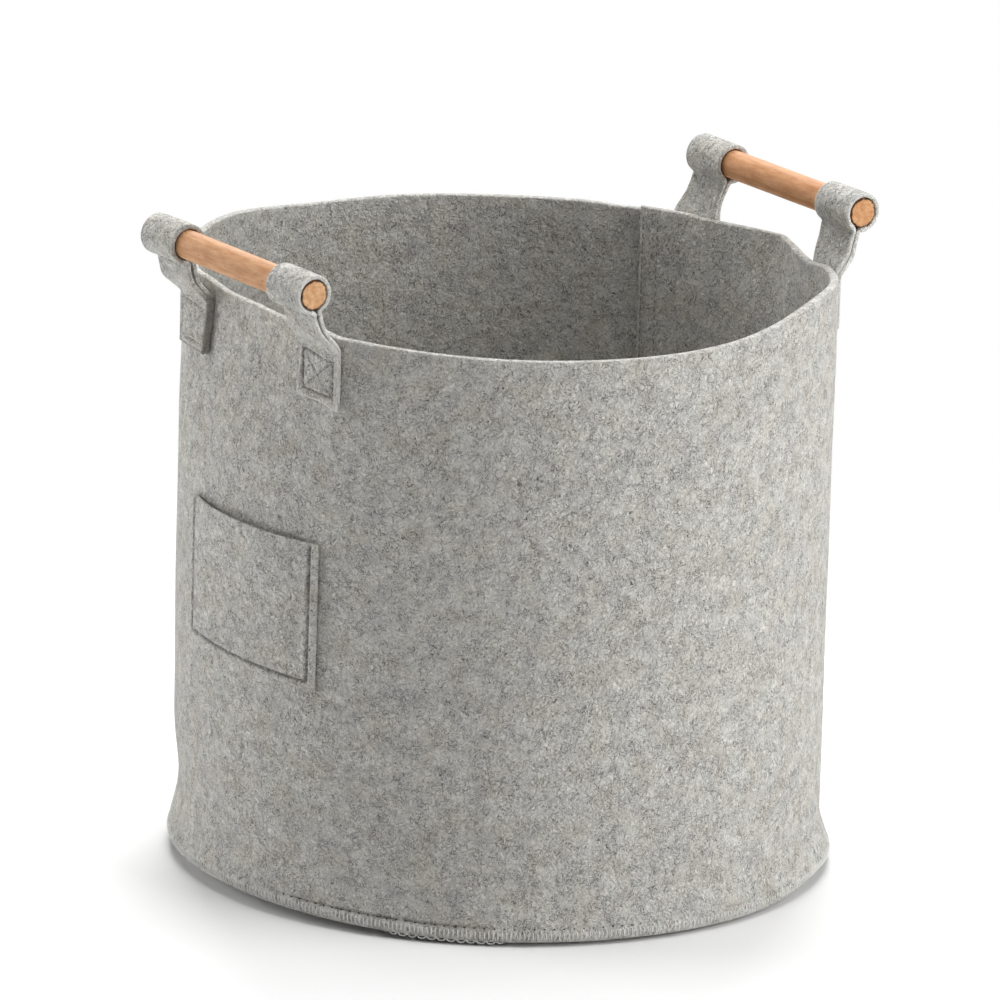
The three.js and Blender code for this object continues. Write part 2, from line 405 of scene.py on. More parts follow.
@dataclass(frozen=True)
class Felt:
    """Marled felt, pressed from grey and white fibres: matt, softly fuzzy, with no weave and no sheen line.

    The eye sees plain patches and busy ones of about 5 mm. The busy ones gather flecks of about 1 mm, dark
    specks and short dark fibres, and pale fibres lie on all of it. Clouds of 12 mm and faint warm and cool
    tints of 17 mm lie under them. A cut edge has a plainer colour of its own; on the front straps it is
    paler, a painted highlight on their lit edges, and on the left rear strap it is dark, painted shade.
    Along a line of stitches the felt is painted darker: partly the matted felt, partly painted shade in the
    groove.
    """

    name: str
    light: str = "#deddd6"
    dark: str = "#bfbdb8"
    shift: Point = (0.0, 0.0, 0.0)
    # A cut edge's share and colour. The front straps raise the share as a painted highlight on their lit
    # edges, and the left rear strap takes a dark colour as painted shade.
    cut_and_painted_light_share: float = 0.12
    cut_and_shade_code: str = "#e0dfda"
    fleck_mm: float = 1.3
    speck_mm: float = 1.0
    busy_mm: float = 5.5
    curl_mm: float = 1.9
    lump_mm: float = 4.5
    cloud_mm: float = 12.0
    tint_mm: float = 17.0
    broken_mm: float = 2.6
    bend_mm: float = 5.0
    relief_mm: float = 0.19
    fibre_mm: Point = (5.0, 0.55, 1.2)

    def material(self) -> Material:
        """Builds the felt's nodes: masks on the sheet's own place, laid over one another, and their relief.

        Returns:
            The material.
        """
        made = new_material(self.name)
        tree = made.node_tree
        flat = add(tree, "Attribute", attribute_name="felt")["Vector"]
        moved = add(tree, "VectorMath", {1: self.shift}, {0: flat}, operation="ADD")[0]
        swirl = add(tree, "TexNoise", {"Scale": 0.3, "Detail": 1.0}, {"Vector": moved})["Color"]
        lean = add(tree, "VectorMath", {1: (0.5, 0.5, 0.5)}, {0: swirl}, operation="SUBTRACT")[0]
        reach = {1: (self.bend_mm, self.bend_mm, self.bend_mm)}
        bent = add(tree, "VectorMath", reach, {0: lean, 2: moved}, operation="MULTIPLY_ADD")[0]
        clouds = self._spots(tree, moved, self.cloud_mm, 4.0, (0.3, 0.7))
        lumps = self._spots(tree, bent, self.lump_mm, 0.5, (0.3, 0.7))
        curls = self._spots(tree, bent, self.curl_mm, 0.5, (0.3, 0.7))
        busy = self._spots(tree, moved, self.busy_mm, 2.0, (0.60, 0.40))
        flecks = self._spots(tree, bent, self.fleck_mm, 3.0, (0.62, 0.36))
        specks = self._spots(tree, bent, self.speck_mm, 1.5, (0.57, 0.66))
        warm = self._spots(tree, moved, self.tint_mm, 1.0, (0.45, 0.7))
        cool = self._spots(tree, moved, self.tint_mm, 1.0, (0.5, 0.25))
        broken = self._spots(tree, moved, self.broken_mm, 1.0, (0.3, 0.6))
        dark = self._fibres(tree, bent, (15.0, 72.0, 128.0), (0.58, 0.66))
        pale = self._fibres(tree, bent, (44.0, 100.0, 160.0), (0.585, 0.68))
        gathered = []
        for mask, gate in ((flecks, 0.5), (specks, 0.8), (dark, 0.4)):
            room = add(tree, "MapRange", {"To Min": 1 - gate}, {"Value": busy})[0]
            gathered.append(add(tree, "Math", links={0: mask, 1: room}, operation="MULTIPLY")[0])
        flecks, specks, dark = gathered
        cut = add(tree, "Attribute", attribute_name="cut")["Fac"]
        pressed = add(tree, "Attribute", attribute_name="pressed")["Fac"]
        pressed = add(tree, "Math", links={0: pressed, 1: broken}, operation="MULTIPLY")[0]
        mix = {6: linear(self.dark), 7: linear(self.light)}
        colour = add(tree, "Mix", mix, {0: clouds}, data_type="RGBA")[2]
        layers = (
            (warm, 0.28, "#b5a890"),
            (cool, 0.22, "#a5a8ac"),
            (flecks, 0.55, "#777470"),
            (dark, 0.62, "#575552"),
            (specks, 0.85, "#3b3937"),
            (pale, 0.35, "#f0efeb"),
            # The cut edge's plainer colour, which on the straps also carries painted highlight and painted
            # shade
            (cut, self.cut_and_painted_light_share, self.cut_and_shade_code),
            # Darker along a pressed seam: the matted felt plus painted shade in the groove
            (pressed, 0.7, "#454442"),
        )
        for mask, share, code in layers:
            part = add(tree, "Math", {1: share}, {0: mask}, operation="MULTIPLY")[0]
            mix = {7: linear(code)}
            colour = add(tree, "Mix", mix, {0: part, 6: colour}, data_type="RGBA")[2]
        height = pale
        for mask, share in ((flecks, -0.5), (dark, -0.8), (curls, 2.0), (lumps, 3.0)):
            links = {0: mask, 2: height}
            height = add(tree, "Math", {1: share}, links, operation="MULTIPLY_ADD")[0]
        relief = {"Strength": 1.0, "Distance": self.relief_mm * MM}
        bump = add(tree, "Bump", relief, {"Height": height})[0]
        matt = {"Roughness": 0.95, "IOR": 1.45, "Specular IOR Level": 0.2}
        fuzz = {"Sheen Weight": 0.12, "Sheen Roughness": 0.6}
        shader = add(tree, "BsdfPrincipled", matt | fuzz, {"Base Color": colour, "Normal": bump})[0]
        add(tree, "OutputMaterial", links={"Surface": shader})
        return made

    def _spots(self, tree: Tree, where: Socket, size: float, detail: float, limits: Pair) -> Socket:
        """Soft spots of a noise.

        Args:
            tree: The material's nodes.
            where: The place on the sheet.
            size: The typical size of a spot, in millimetres.
            detail: How many finer layers the noise has.
            limits: The levels of the noise at which a spot is 0 and 1.

        Returns:
            The spots, from 0 to 1.
        """
        values = {"Scale": 1 / size, "Detail": detail, "Roughness": 0.6}
        noise = add(tree, "TexNoise", values, {"Vector": where})[0]
        levels = {"From Min": limits[0], "From Max": limits[1]}
        return add(tree, "MapRange", levels, {"Value": noise})[0]

    def _fibres(self, tree: Tree, where: Socket, turns: Point, limits: Pair) -> Socket:
        """Thin streaks that lie along several directions, 1 on a fibre and 0 off it.

        Args:
            tree: The material's nodes.
            where: The place on the sheet.
            turns: The directions in degrees.
            limits: The levels of the noise between which a fibre shows.

        Returns:
            The strongest of the streaks.
        """
        levels = {"From Min": limits[0], "From Max": limits[1]}
        found = None
        for turn in turns:
            lie = {"Rotation": (0, 0, np.radians(turn)), "Scale": self.fibre_mm, "Location": (turn, 0, 0)}
            laid = add(tree, "Mapping", lie, {"Vector": where}, vector_type="TEXTURE")[0]
            noise = add(tree, "TexNoise", {"Scale": 1.0, "Detail": 1.5}, {"Vector": laid})[0]
            streak = add(tree, "MapRange", levels, {"Value": noise}, interpolation_type="SMOOTHSTEP")[0]
            if found is not None:
                streak = add(tree, "Math", links={0: found, 1: streak}, operation="MAXIMUM")[0]
            found = streak
        return found


@dataclass(frozen=True)
class Thread:
    """Spun polyester sewing thread: matt, with a fine twist that shows as small light and dark places."""

    name: str
    light: str = "#9a9893"
    dark: str = "#6b6a66"
    twist_mm: float = 0.5

    def material(self) -> Material:
        """Builds the thread's nodes.

        Returns:
            The material.
        """
        made = new_material(self.name)
        tree = made.node_tree
        where = add(tree, "TexCoord")["Object"]
        values = {"Scale": 1 / (self.twist_mm * MM), "Detail": 1.0}
        twist = add(tree, "TexNoise", values, {"Vector": where})[0]
        mix = {6: linear(self.dark), 7: linear(self.light)}
        colour = add(tree, "Mix", mix, {0: twist}, data_type="RGBA")[2]
        matt = {"Roughness": 0.8, "IOR": 1.5}
        shader = add(tree, "BsdfPrincipled", matt, {"Base Color": colour})[0]
        add(tree, "OutputMaterial", links={"Surface": shader})
        return made


@dataclass(frozen=True)
class Beech:
    """Beech rod, turned, sanded and oiled: pinkish tan, fine straight grain with short darker ray flecks.

    The side has streaks along the rod about 1.6 mm wide, and soft clouds of 13 mm. The sawn end is yellower,
    with fine dark pores and a ragged brown line round its border, painted shade of the gap round the rod's
    end.
    """

    name: str
    centre: Point
    light: str = "#cca07a"
    dark: str = "#ab7a53"
    fleck: str = "#8e5c37"
    end: bool = False
    streak_mm: Point = (1.6, 70.0, 1.6)
    cloud_mm: Point = (3.2, 13.0, 3.2)
    ray_mm: Point = (0.45, 3.2, 0.45)
    # The ring of painted shade round the sawn end: its raggedness, its radii and its colour
    ragged_mm: Point = (1.6, 1.6, 1.6)
    border_mm: Pair = (7.4, 8.0)
    shade_border_code: str = "#3a281b"

    def material(self) -> Material:
        """Builds the wood's nodes.

        Returns:
            The material.
        """
        made = new_material(self.name)
        tree = made.node_tree
        where = add(tree, "TexCoord")["Object"]
        streaks = self._along(tree, where, self.streak_mm, 3.0, (0.32, 0.68))
        clouds = self._along(tree, where, self.cloud_mm, 2.0, (0.36, 0.64))
        rays = self._along(tree, where, self.ray_mm, 1.0, (0.62, 0.72))
        tone = add(tree, "Math", {1: 0.45}, {0: streaks}, operation="MULTIPLY")[0]
        tone = add(tree, "Math", {1: 0.55}, {0: clouds, 2: tone}, operation="MULTIPLY_ADD")[0]
        mix = {6: linear(self.dark), 7: linear(self.light)}
        colour = add(tree, "Mix", mix, {0: tone}, data_type="RGBA")[2]
        share = add(tree, "Math", {1: 0.5}, {0: rays}, operation="MULTIPLY")[0]
        mix = {7: linear(self.fleck)}
        colour = add(tree, "Mix", mix, {0: share, 6: colour}, data_type="RGBA")[2]
        # Painted shade round the border of the sawn end
        if self.end:
            colour = self._painted_shade_border(tree, where, colour)
        bump = add(tree, "Bump", {"Strength": 0.3, "Distance": 0.08 * MM}, {"Height": streaks})[0]
        satin = {"Roughness": 0.75 if self.end else 0.62, "IOR": 1.5, "Specular IOR Level": 0.2}
        shader = add(tree, "BsdfPrincipled", satin, {"Base Color": colour, "Normal": bump})[0]
        add(tree, "OutputMaterial", links={"Surface": shader})
        return made

    def _painted_shade_border(self, tree: Tree, where: Socket, colour: Socket) -> Socket:
        """Darkens the border of a sawn end with a ragged brown line, painted shade of the gap round the
        rod's end.

        Args:
            tree: The material's nodes.
            where: The place on the rod.
            colour: The wood's colour.

        Returns:
            The colour with its border.
        """
        centre = tuple(-c * MM for c in self.centre)
        off = add(tree, "VectorMath", {1: centre}, {0: where}, operation="ADD")[0]
        off = add(tree, "VectorMath", {1: (1.0, 0.0, 1.0)}, {0: off}, operation="MULTIPLY")[0]
        out = add(tree, "VectorMath", links={0: off}, operation="LENGTH")["Value"]
        ragged = self._along(tree, where, self.ragged_mm, 2.0, (0.3, 0.7))
        out = add(tree, "Math", {1: 0.9 * MM}, {0: ragged, 2: out}, operation="MULTIPLY_ADD")[0]
        limits = {"From Min": self.border_mm[0] * MM, "From Max": self.border_mm[1] * MM, "To Max": 0.95}
        border = add(tree, "MapRange", limits, {"Value": out})[0]
        mix = {7: linear(self.shade_border_code)}
        return add(tree, "Mix", mix, {0: border, 6: colour}, data_type="RGBA")[2]

    def _along(self, tree: Tree, where: Socket, size: Point, detail: float, limits: Pair) -> Socket:
        """A noise stretched along the rod.

        Args:
            tree: The material's nodes.
            where: The place on the rod.
            size: The grain's size along X, Y and Z, in millimetres.
            detail: How many finer layers the noise has.
            limits: The levels of the noise that become 0 and 1.

        Returns:
            The grain, from 0 to 1.
        """
        lie = {"Location": tuple(c * MM for c in self.centre), "Scale": tuple(s * MM for s in size)}
        laid = add(tree, "Mapping", lie, {"Vector": where}, vector_type="TEXTURE")[0]
        noise = add(tree, "TexNoise", {"Scale": 1.0, "Detail": detail}, {"Vector": laid})[0]
        levels = {"From Min": limits[0], "From Max": limits[1]}
        return add(tree, "MapRange", levels, {"Value": noise})[0]


@dataclass
class Wall:
    """The side of the basket: one felt sheet rolled into a cylinder and lapped at the back right.

    It is drawn flat at the rim by the straps, straight between them on the left and creased outward between
    them on the right, and its hem is puffed out below the row of stitches that holds the base. The swells,
    the lifts, the hem's tuck, the pinch and the hollow behind the strap are each a middle, a half width and
    a size. A wave of the rim is its height, the angle of its crest and how many of it go round.
    """

    radius: float = 175.0
    thickness: float = 4.5
    length: float = 314.2
    edge_round: float = 1.1
    full_height: float = 320.0
    rim_level: float = 321.25
    rim_waves: tuple[Point, ...] = ((3.65, 152.0, 1.0), (2.53, -34.0, 2.0))
    swells: tuple[Point, ...] = (
        (-55.0, 20.0, 7.7),
        (-14.0, 9.0, -2.7),
        (28.0, 26.0, 0.9),
        (92.0, 12.0, -1.6),
        (117.0, 10.0, 1.5),
        (168.0, 9.0, -3.6),
        (184.0, 11.0, -3.6),
    )
    foot_level: float = 2.6
    foot_left: float = 2.9
    lifts: tuple[Point, ...] = ((176.0, 20.0, 2.0), (308.0, 11.0, 2.8))
    flat_right: float = 164.0
    flat_left: float = 160.0
    flat_foot: float = 220.0
    flat_top: float = 325.0
    drawn_right: tuple[float, ...] = (30.0, 59.0, 46.0, 78.0)
    drawn_left: Pair = (56.0, 84.0)
    crease_reach: float = 182.0
    crease_slope: float = 0.341
    crease_half: float = 44.0
    crease_foot: float = 276.0
    pressed_at: float = 144.5
    pressed_in: float = 0.9
    pinch: Point = (41.0, 21.0, 3.6)
    behind_strap: Point = (10.3, 9.0, 2.6)
    lap_outer_end: float = 25.9
    lap_inner_end: float = 30.8
    lap_ease_end: float = 36.7
    lap_gap: float = 0.3
    lap_lower: float = 2.2
    skived: float = 0.5
    hem_flare: float = 4.2
    hem_lean: float = 2.2
    hem_roll: float = 1.6
    hem_puff: float = 0.5
    hem_lean_to: float = -35.5
    hem_tuck: Point = (300.0, 16.0, 0.9)
    hem_height: float = 26.0
    seam_height: float = 6.8
    groove_half: float = 0.8
    ripple: float = 0.35
    column: float = 2.4

    def rim(self, angle: Array) -> Array:
        """The rim's height: a level, two slow waves round the basket, and its swells and dips.

        Args:
            angle: Plan angle in radians.

        Returns:
            Heights in millimetres.
        """
        turn = np.degrees(angle)
        height = self.rim_level
        for rise, crest, count in self.rim_waves:
            height = height + rise * np.cos(np.radians(count * (turn - crest)))
        for middle, half, rise in self.swells:
            height = height + rise * bell((turn - middle + 180) % 360 - 180, 0, half)
        return height

    def foot(self, angle: Array) -> Array:
        """The height of the hem's lower edge: off the floor, and most so on the left and at the front right.

        Args:
            angle: Plan angle in radians.

        Returns:
            Heights in millimetres.
        """
        turn = np.degrees(angle) % 360
        raised = smooth(turn, 110, 150) * (1 - smooth(turn, 192, 240))
        height = self.foot_level + self.foot_left * raised
        for middle, half, rise in self.lifts:
            height = height + rise * bell(turn, middle, half)
        return height

    def hem_reach(self, angle: Array) -> Array:
        """How far the hem's lower edge stands out beyond the wall.

        Args:
            angle: Plan angle in radians.

        Returns:
            Distances in millimetres, most at the front right and a little less just before it.
        """
        middle, half, depth = self.hem_tuck
        tucked = depth * bell(np.degrees(angle) % 360, middle, half)
        return self.hem_flare + self.hem_lean * np.cos(angle - np.radians(self.hem_lean_to)) - tucked

    def outside(self, angle: Array, height: Array) -> Array:
        """The distance of the wall's outside from the basket's axis.

        It is the cylinder's radius, plus (flat line - radius) by how much the straps draw the wall there,
        plus the flare of the hem. Between the right straps it goes over to the two straight lines of the
        crease. At the back left the wall is pressed in a few millimetres above its hem and behind the strap.

        Args:
            angle: Plan angle in radians.
            height: Height above the floor, in millimetres.

        Returns:
            Distances in millimetres.
        """
        near = height - self.rim(angle) + self.full_height
        right = np.cos(angle) > 0
        from_side = np.minimum(np.abs(np.arctan(np.tan(angle))), 1.2)
        flat = np.where(right, self.flat_right, self.flat_left)
        y = flat * np.tan(from_side)
        rise_from, rise_to, fall_from, fall_to = self.drawn_right
        right_share = smooth(y, rise_from, rise_to) * (1 - smooth(y, fall_from, fall_to))
        share = np.where(right, right_share, 1 - smooth(y, *self.drawn_left))
        rise = smooth(near, self.flat_foot, self.flat_top)
        drawn = share * np.where(right, rise**2, rise)
        body = self.radius + drawn * (flat / np.cos(from_side) - self.radius)
        soft = np.sqrt(np.sin(from_side) ** 2 + 0.007**2)
        crease = self.crease_reach / (np.cos(from_side) + self.crease_slope * soft)
        into = (1 - smooth(y, self.crease_half - 4, self.crease_half + 2)) * right
        rise = np.clip((near - self.crease_foot) / (self.full_height - self.crease_foot), 0, 1)
        body = body + into * rise * (crease - body)
        back_left = (np.degrees(angle) - self.pressed_at + 180) % 360 - 180
        middle, half, depth = self.pinch
        pressed = self.pressed_in * (1 - smooth(height, 60, 240)) + depth * bell(height, middle, half)
        body = body - pressed * bell(back_left, 0, 32)
        middle, half, depth = self.behind_strap
        body = body - depth * smooth(near, 235, 285) * bell(back_left, middle, half)
        return body + self.hem_reach(angle) * (1 - smooth(height - self.foot(angle), 0, self.hem_height))

    def at_side(self, y: Array, height: Array, side: Side) -> Array:
        """How far the wall's outside is from the plane X = 0, at places beside a handle.

        Args:
            y: Place along Y, in millimetres.
            height: Height above the floor.
            side: Which side of the basket.

        Returns:
            Distances in millimetres.
        """
        x = np.full(np.broadcast(y, height).shape, self.flat_right)
        start = 0.0 if side is Side.RIGHT else np.pi
        for _ in range(8):
            angle = start + np.arctan2(side.value * y, x)
            radius = self.outside(angle, height)
            x = np.sqrt(radius**2 - y**2)
        return x

    def rows(self) -> Array:
        """Places up the sheet: close at the hem, wider up the plain wall and closer again at the rim.

        Returns:
            Distances from the hem's lower edge, in millimetres.
        """
        near = CUT_ROWS * self.edge_round
        hem = np.linspace(self.edge_round, 12, 20)
        plain = np.linspace(12, 200, 31)[1:]
        top = np.linspace(200, self.length - self.edge_round, 36)[1:]
        return np.concatenate([near, hem, plain, top, self.length - near[::-1]])

    def build(self, material: Material) -> Object:
        """Rolls the sheet: each column of the grid stands at an angle, each row at a height.

        Args:
            material: The wall's felt.

        Returns:
            The piece.
        """
        start, end = np.radians([self.lap_outer_end, self.lap_inner_end + 360])
        around = spread((end - start) * self.radius, self.column, self.edge_round)
        angle = (start + around / self.radius)[None, :]
        up = self.rows()[:, None]
        foot = self.foot(angle)
        spare = self.rim(angle) - foot - self.length
        inner_end, ease_end = np.radians([self.lap_inner_end, self.lap_ease_end])
        spare = spare - self.lap_lower * (1 - smooth(angle, inner_end, ease_end + 0.07))
        height = foot + up + spare * smooth(up, 40, 280)
        over = (self.thickness + self.lap_gap) * (1 - smooth(angle, inner_end, ease_end))
        from_end = np.minimum(around, around[-1] - around)[None, :]
        thin = 1 - self.skived * (1 - smooth(from_end, 0, 9))
        over = over + np.where(angle > np.pi, 1, -1) * (1 - thin) * self.thickness / 2
        ripple = self.ripple * waver(around[None, :], up, 90.0) * smooth(up, 12, 60)
        radius = self.outside(angle, height) + over - self.thickness / 2 + ripple
        puff = self.hem_puff * np.sin(np.pi * np.clip(up / self.seam_height, 0, 1))
        radius = radius + puff - self.hem_roll * (1 - smooth(up, 0, self.seam_height)) ** 2
        from_rim = np.minimum(up, self.length - up)
        half = self.thickness / 2 * thin
        half = half * cut_edge(from_end, self.edge_round) * cut_edge(from_rim, self.edge_round)
        near = np.minimum(from_end, from_rim)
        turn = np.degrees(angle) % 360
        tight = 0.2 + 0.8 * smooth(turn, 188, 208) * (1 - smooth(turn, 222, 238))
        groove = (0.75 + 0.3 * waver(around[None, :], up, 14.0)) * tight
        groove = groove * bell(up, self.seam_height, self.groove_half)
        return Sheet(
            middle=polar(radius, angle, height),
            half=half,
            place=stacked(around[None, :], up),
            edge=1 - smooth(near, 0.9, 2.0),
            press_front=groove,
            press_back=0.5 * groove,
        ).build("felt_wall", material)


@dataclass
class Base:
    """The bottom of the basket: a felt disc, its edge lifted a little and sewn to the hem by an overlock."""

    wall: Wall
    thickness: float = 4.0
    ring: float = 22.0
    edge_round: float = 0.8
    skived: float = 0.45
    fine_ring: float = 20.0
    inside_hem: float = 6.6
    sewn_lift: float = 0.5
    shown_from: float = 211.0
    shown_to: float = 242.0
    shown_out: float = 1.6
    shown_down: float = 1.6

    def edge(self, angle: Array) -> Array:
        """The disc's radius: it ends against the inner face of the hem.

        Args:
            angle: Plan angle in radians.

        Returns:
            Distances from the basket's axis, in millimetres.
        """
        hem = self.wall.radius + self.wall.hem_reach(angle)
        return hem - self.inside_hem + self.shown_out * self.shown(angle)

    def lift(self, angle: Array) -> Array:
        """How far the disc's edge is off the floor: about as far as the hem, to which it is sewn."""
        return self.wall.foot(angle) + self.sewn_lift - self.shown_down * self.shown(angle)

    def shown(self, angle: Array) -> Array:
        """Where the overlock hangs out below the hem: only at the front left.

        Args:
            angle: Plan angle in radians.

        Returns:
            A share from 0 to 1.
        """
        turn = np.degrees(angle) % 360
        ending = smooth(turn, self.shown_to - 8, self.shown_to)
        return smooth(turn, self.shown_from, self.shown_from + 8) * (1 - ending)

    def build(self, material: Material) -> Object:
        """Turns the disc from its section: level in the middle, rising over the last ring to its edge.

        Args:
            material: The base's felt.

        Returns:
            The piece.
        """
        angle = np.linspace(0, 2 * np.pi, 300, endpoint=False)[None, :]
        edge = self.edge(angle)
        near = np.append(CUT_ROWS, 1.0) * self.edge_round
        plain = np.linspace(0, 1, 40)[:, None] * (edge - self.fine_ring)
        ring = np.linspace(self.fine_ring, self.edge_round, 24)[1:-1]
        inward = np.concatenate([ring, near[::-1]])[:, None]
        out = np.concatenate([plain, edge - inward])
        thin = 1 - self.skived * smooth(out, edge - 10, edge - 1)
        rise = self.lift(angle) * smooth(out, edge - self.ring, edge)
        height = rise + thin * self.thickness / 2 + 0.05
        sag = 0.15 * waver(out * np.cos(angle), out * np.sin(angle), 70.0)
        middle = polar(out, angle, height + np.abs(sag))
        half = self.thickness / 2 * thin * cut_edge(edge - out, self.edge_round)
        place = polar(out, angle, 0.0)[..., :2]
        cut = 1 - smooth(edge - out, 0.9, 2.0)
        return Sheet(middle=middle, half=half, place=place, edge=cut, wrap=True).build("felt_base", material)


@dataclass
class Pocket:
    """The patch pocket under the left handle, sewn on three sides, its mouth open a little at the top."""

    wall: Wall
    width: float = 106.0
    height: float = 79.0
    thickness: float = 3.0
    foot: float = 131.0
    turn: float = 184.1
    tilt: float = 0.054
    tilt_less: float = 0.024
    mouth: float = 2.3
    slack: float = 0.5
    seam_left: float = 2.8
    seam_right: float = 4.9
    seam_foot: float = 4.2
    groove_half: float = 0.8
    puffed: float = 0.4
    edge_round: float = 0.8

    def seam(self) -> list[tuple[Pair, Pair]]:
        """The three straight rows of stitches.

        Returns:
            The two ends of each row, as places on the patch from its middle and its foot.
        """
        left = self.seam_left - self.width / 2
        right = self.width / 2 - self.seam_right
        top = self.height - 1.0
        return [
            ((left, top), (left, self.seam_foot)),
            ((left, self.seam_foot), (right, self.seam_foot)),
            ((right, self.seam_foot), (right, top)),
        ]

    def surface(self, across: Array, up: Array, off: Array | float) -> Array:
        """Places on the patch: a little out of level, bent round the wall, standing off it at the mouth.

        Args:
            across: From the middle of the patch along the wall, in millimetres.
            up: From the patch's foot.
            off: How far outside the patch's inner face.

        Returns:
            Points in millimetres.
        """
        angle = np.radians(self.turn) + across / self.wall.radius
        height = self.foot + 0.3 + up - across * (self.tilt - self.tilt_less * up / self.height)
        inner = self.width - self.seam_left - self.seam_right
        gape = 1 - np.clip(np.abs(2 * across / inner), 0, 1) ** 3
        stand = self.mouth * gape * smooth(up, 20, self.height) ** 1.5
        slack = self.slack * gape * np.sin(np.pi * np.clip(up / self.height, 0, 1))
        radius = self.wall.outside(angle, height) + 0.1 + stand + slack + off
        return polar(radius, angle, height)

    def build(self, material: Material) -> Object:
        """Bends the patch round the wall, with a pressed line along its stitches.

        Args:
            material: The pocket's felt.

        Returns:
            The piece.
        """
        seams = (self.seam_left, self.width - self.seam_right)
        across = spread(self.width, 1.1, self.edge_round, seams)[None, :] - self.width / 2
        up = spread(self.height, 1.1, self.edge_round, (self.seam_foot,))[:, None]
        from_side = self.width / 2 - np.abs(across)
        from_top = np.minimum(up, self.height - up)
        half = self.thickness / 2 * cut_edge(from_side, self.edge_round)
        half = half * cut_edge(from_top, self.edge_round) * (0.5 + 0.5 * smooth(self.height - up, 0, 6))
        line = to_lines(across, up, self.seam())
        depth = 1.15 + 0.3 * waver(across, up, 9.0)
        puffed = self.puffed * bell(line, 2.0, 0.9)
        curl = 0.7 * (1 - smooth(np.minimum(from_side, up), 0.2, 1.4))
        return Sheet(
            middle=self.surface(across, up, self.thickness / 2),
            half=half,
            place=stacked(across, up),
            edge=1 - smooth(np.minimum(from_side, up), 0.7, 1.6),
            press_front=depth * bell(line, 0, self.groove_half) - puffed,
            press_back=curl,
        ).build("felt_pocket", material)


